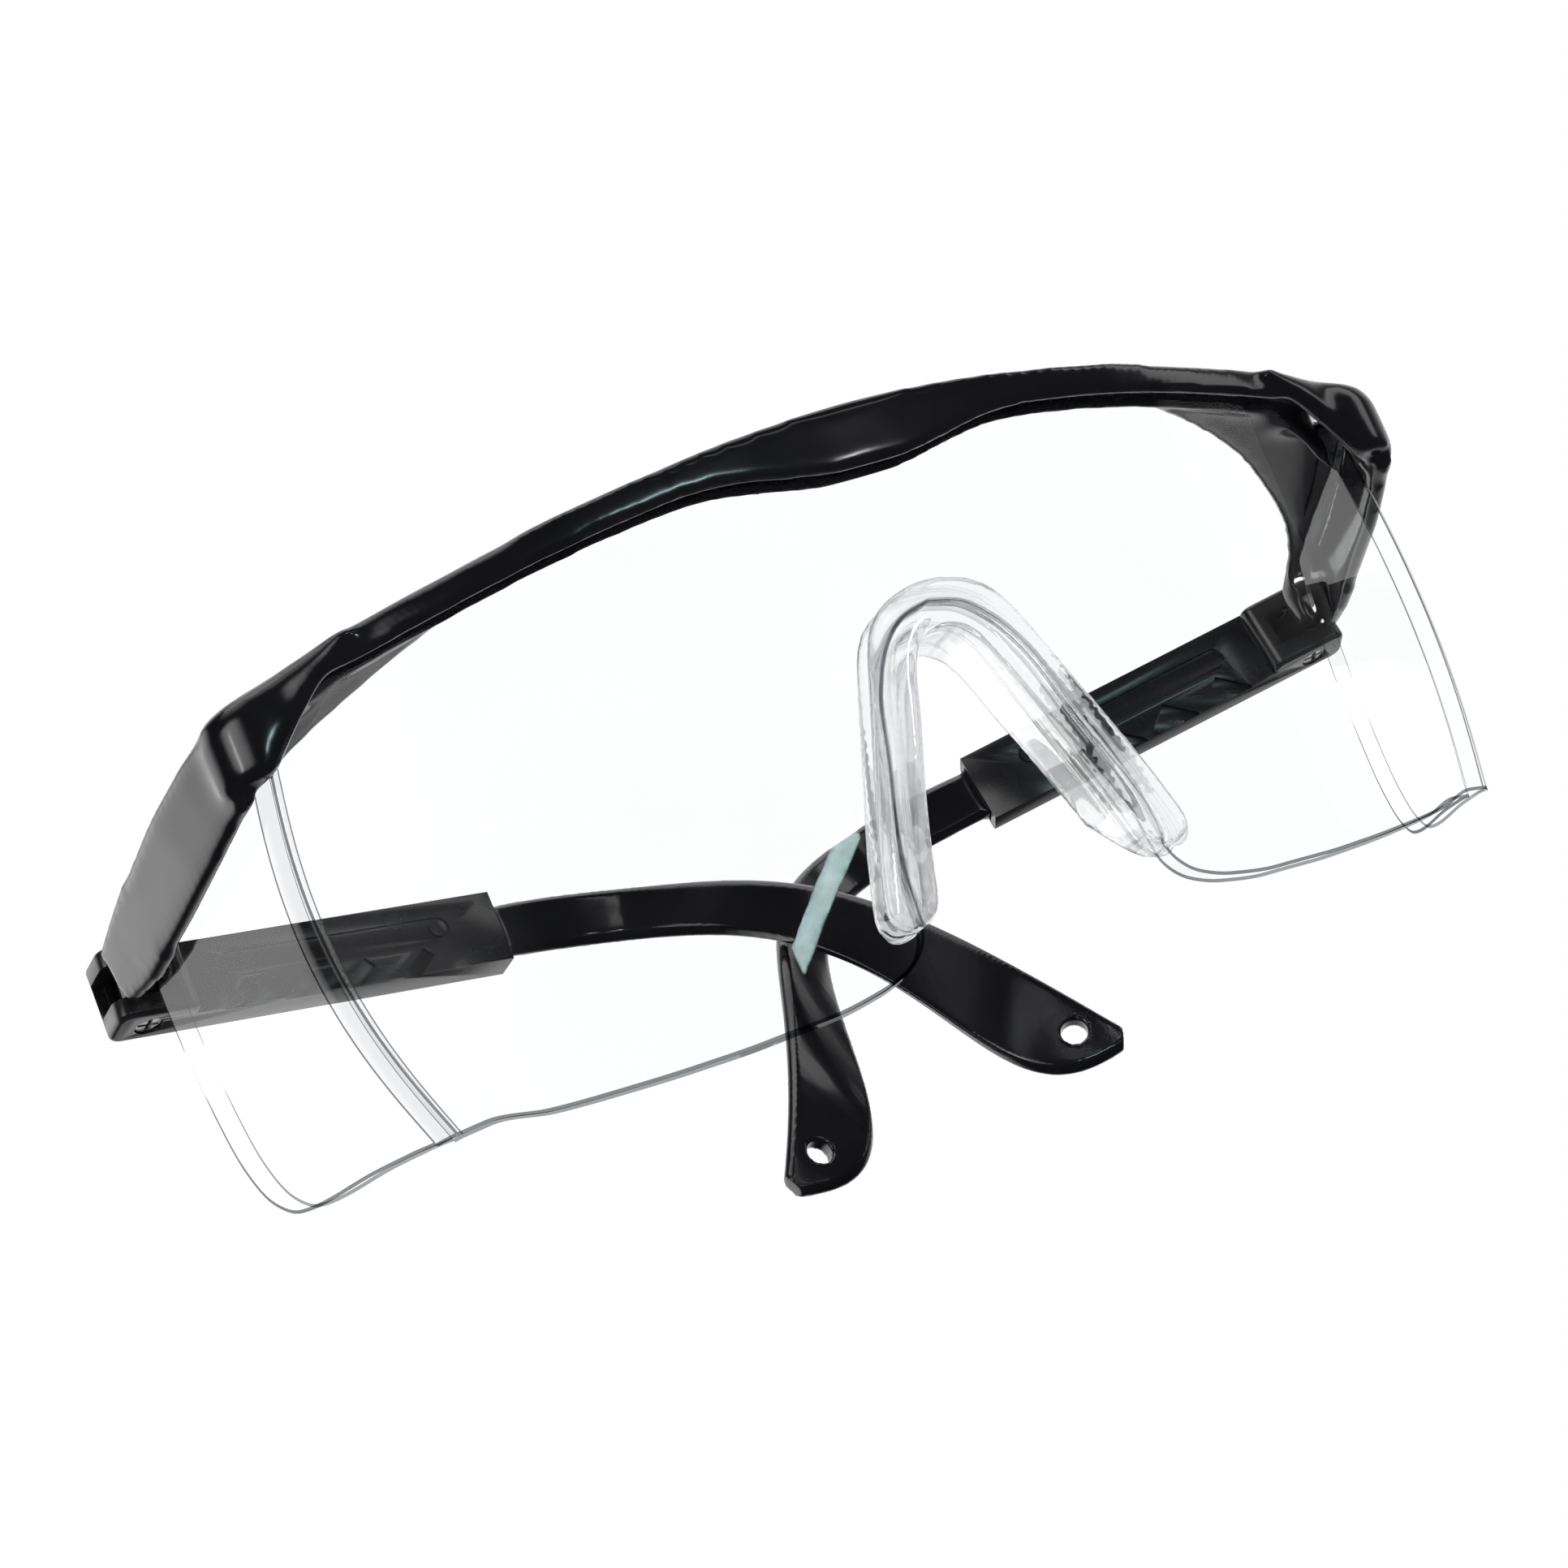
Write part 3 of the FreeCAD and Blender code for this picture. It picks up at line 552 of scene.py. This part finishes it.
def web_height(p):
    """Distance of a point of the upright frame above the web's middle plane, in mm."""
    c, s = math.cos(TILT), math.sin(TILT)
    x, y, z = abs(p.x), p.y * c - p.z * s, p.y * s + p.z * c
    return z - (WEB_Z - WEB_FALL_X * x - WEB_FALL_Y * y)


def web_weight(p):
    """Full on the webs and the outer part of the side arms."""
    x = abs(p.x)
    web = min(WEB_REACH - abs(web_height(p)), WEB_TO_X - x, x - WEB_FROM_X)
    arm = min(x - ARM_FROM_X, ARM_REAR - p.y, p.y)
    return clamped(max(web, arm / ARM_FADE))


def bar_weight(p):
    """Full on the bar between the corner caps."""
    return clamped((BAR_TO_X - abs(p.x)) / BAR_FADE)


def paint_web_backlight(mesh):
    """Painted light: a lighter second material on the thin webs between the bar and the side arms,
    standing in for light shining through them.
    """
    for f in mesh.polygons:
        p = upright(f.center)
        near = abs(web_height(p)) < WEB_LIT_REACH and WEB_LIT_FROM_X < abs(p.x) < WEB_LIT_TO_X
        if near and abs(f.normal.z) > WEB_LIT_FLAT:
            f.material_index = 1


def open_bore(mesh, point, axis, radius):
    """Keeps a hole of this radius (mm) clear around an axis, where the skin would close on the screw."""
    for v in mesh.vertices:
        off = v.co / MM - point
        off -= axis * off.dot(axis)
        if BORE_CORE < off.length < radius:
            v.co += off * (radius / off.length - 1) * MM


brow = moulded("brow_frame", *BROW_SKIN)
relax(brow, cap_weight, CAP_ROUNDS)
relax(brow, web_weight, WEB_ROUNDS)
relax(brow, bar_weight, BAR_ROUNDS)
# painted light: the thin webs get the lighter nylon that stands in for light shining through them
paint_web_backlight(brow)
for x, lean in HINGE_X_LEAN:
    open_bore(brow, Vector((x, HINGE_Y, HINGE_Z)), Vector((lean, 0.0, HINGE_UP)), BORE_R)
add_piece("brow_moulding", brow, "frame", "black_nylon", (BLACK, BACKLIT_WEB_NYLON), "brow_frame")
nose = moulded("nose_piece", *NOSE_SKIN)
relax(nose, lambda p: 1.0, NOSE_ROUNDS)
add_piece("soft_nose_piece", nose, "frame", "clear_nose", (SOFT,), "nose_piece")
for side in ("right", "left"):
    arm, sleeve, screw = "temple_arm_" + side, "temple_sleeve_" + side, "hinge_screw_" + side
    add_piece("arm_" + side + "_moulding", moulded(arm, *ARM_SKIN), "arm_" + side,
              "black_nylon", (BLACK,), arm)
    add_piece("sleeve_" + side + "_moulding", crisp(sleeve, SLEEVE_BEVEL), "temple_" + side,
              "black_nylon", (SLEEVE_BLACK,), sleeve)
    add_piece("screw_" + side + "_turned", crisp(screw, SCREW_BEVEL), "temple_" + side,
              "screw_steel", (STEEL,), screw)


# ------------------------------------------------------------------ studio
# soft panels that only mirror rays see: direction, cosine where it fades in and is full, strength
PANELS = [((0.39, 0.84, 0.37), 0.35, 0.85, 1.0), ((-0.69, 0.69, 0.20), 0.72, 0.97, 2.3),
          ((-0.69, -0.65, 0.22), 0.94, 0.995, 3.2), ((-0.64, -0.76, 0.09), 0.965, 0.999, 2.4),
          ((-0.25, -0.35, 0.9), 0.9, 0.99, 1.4)]
GLOOM = 0.03                            # mirrored level between the panels
# strength of the white world for the other rays
RAY_LEVELS = (("Is Camera Ray", 1.0), ("Is Transmission Ray", 1.0), ("Is Diffuse Ray", 0.45))
FLOOR_HALF, FLOOR_Z = 4.0, -0.0003
FLOOR_GREY, FLOOR_ROUGH = 0.86, 0.8


def camera():
    """Camera at the viewing angle of the main picture, looking up from below floor level."""
    data = bpy.data.cameras.new("camera")
    data.sensor_width = 36.0
    data.lens = 93.168
    data.clip_start = 0.01
    cam = bpy.data.objects.new("camera", data)
    right = Vector((0.87901, -0.22107, -0.42245))
    down = Vector((-0.27438, 0.49007, -0.82738))
    forward = Vector((0.38994, 0.84319, 0.37012))
    place = Vector((-0.174756, -0.364353, -0.120571))
    cam.matrix_world = Matrix((
        (right.x, -down.x, -forward.x, place.x),
        (right.y, -down.y, -forward.y, place.y),
        (right.z, -down.z, -forward.z, place.z),
        (0, 0, 0, 1)))
    bpy.context.scene.collection.objects.link(cam)
    bpy.context.scene.camera = cam


def area(name, direction, distance, width, height, radiance, colour=(1, 1, 1), roll=0.0):
    """Soft box at a direction from the object, facing it and turned about that line by roll degrees."""
    d = Vector(direction).normalized()
    data = bpy.data.lights.new(name, "AREA")
    data.shape = "RECTANGLE"
    data.size, data.size_y = width, height
    data.color = colour
    data.energy = radiance * math.pi * width * height
    obj = bpy.data.objects.new(name, data)
    facing = d.to_track_quat("Z", "Y").to_matrix().to_4x4()
    turned = Matrix.Rotation(math.radians(roll), 4, "Z")
    obj.matrix_world = Matrix.Translation(d * distance) @ facing @ turned
    obj.visible_camera = False
    bpy.context.scene.collection.objects.link(obj)


def world():
    """White to the eye and through the clear plastic; mirror rays see only the soft panels."""
    w = bpy.data.worlds.new("studio")
    bpy.context.scene.world = w
    w.use_nodes = True
    nt = w.node_tree
    back = nt.nodes["Background"]
    back.inputs["Color"].default_value = (1.0, 1.0, 1.0, 1.0)
    coord = nt.nodes.new("ShaderNodeTexCoord")
    path = nt.nodes.new("ShaderNodeLightPath")
    level = GLOOM
    for direction, low, full, strength in PANELS:
        dot = nt.nodes.new("ShaderNodeVectorMath")
        dot.operation = "DOT_PRODUCT"
        dot.inputs[1].default_value = Vector(direction).normalized()
        nt.links.new(coord.outputs["Generated"], dot.inputs[0])
        fade = nt.nodes.new("ShaderNodeMapRange")
        fade.interpolation_type = "SMOOTHSTEP"
        limits = (("From Min", low), ("From Max", full), ("To Min", GLOOM), ("To Max", strength))
        for key, value in limits:
            fade.inputs[key].default_value = value
        nt.links.new(dot.outputs["Value"], fade.inputs["Value"])
        level = math_node(nt, "MAXIMUM", level, fade.outputs["Result"])
    level = math_node(nt, "MULTIPLY", level, path.outputs["Is Glossy Ray"])
    for ray, strength in RAY_LEVELS:
        seen = math_node(nt, "MULTIPLY", path.outputs[ray], strength)
        level = math_node(nt, "MAXIMUM", level, seen)
    nt.links.new(level, back.inputs["Strength"])


def floor():
    """Pale floor that only shows from above. Mirror rays and rays bent by the clear plastic miss it."""
    mesh = bpy.data.meshes.new("floor")
    s, z = FLOOR_HALF, FLOOR_Z
    mesh.from_pydata([(-s, -s, z), (s, -s, z), (s, s, z), (-s, s, z)], [], [(0, 1, 2, 3)])
    obj = bpy.data.objects.new("floor", mesh)
    bpy.context.scene.collection.objects.link(obj)
    mat, nt, p = new_material("floor_pale")
    p.inputs["Base Color"].default_value = (*grey(FLOOR_GREY), 1.0)
    p.inputs["Roughness"].default_value = FLOOR_ROUGH
    geo = nt.nodes.new("ShaderNodeNewGeometry")
    see = nt.nodes.new("ShaderNodeBsdfTransparent")
    nt.links.new(mixed(nt, geo.outputs["Backfacing"], p.outputs["BSDF"], see.outputs["BSDF"]),
                 nt.nodes["Material Output"].inputs["Surface"])
    mesh.materials.append(mat)
    obj.visible_glossy = False
    obj.visible_transmission = False


camera()
world()
floor()
# name, direction, distance, width, height, brightness
area("cap_strip", (-0.74, -0.62, 0.1), 1.2, 0.04, 0.3, 14.0)
area("bar_strip", (0.39, -0.915, 0.067), 1.2, 0.03, 0.07, 60.0)
# pale cyan, for the streak on the lens
area("lens_strip", (0.0326, -0.9995, 0.0285), 1.227, 0.25, 0.012, 95.0, (0.72, 0.97, 1.0), 10.0)
area("sleeve_strip", (0.30, -0.85, 0.42), 1.2, 0.5, 0.05, 3.0)
area("top_box", (0.1, -0.1, 1.0), 1.3, 1.2, 1.2, 1.2)
area("right_box", (0.85, -0.3, 0.4), 1.3, 0.3, 0.9, 1.5)
bpy.context.scene.view_settings.view_transform = "Standard"
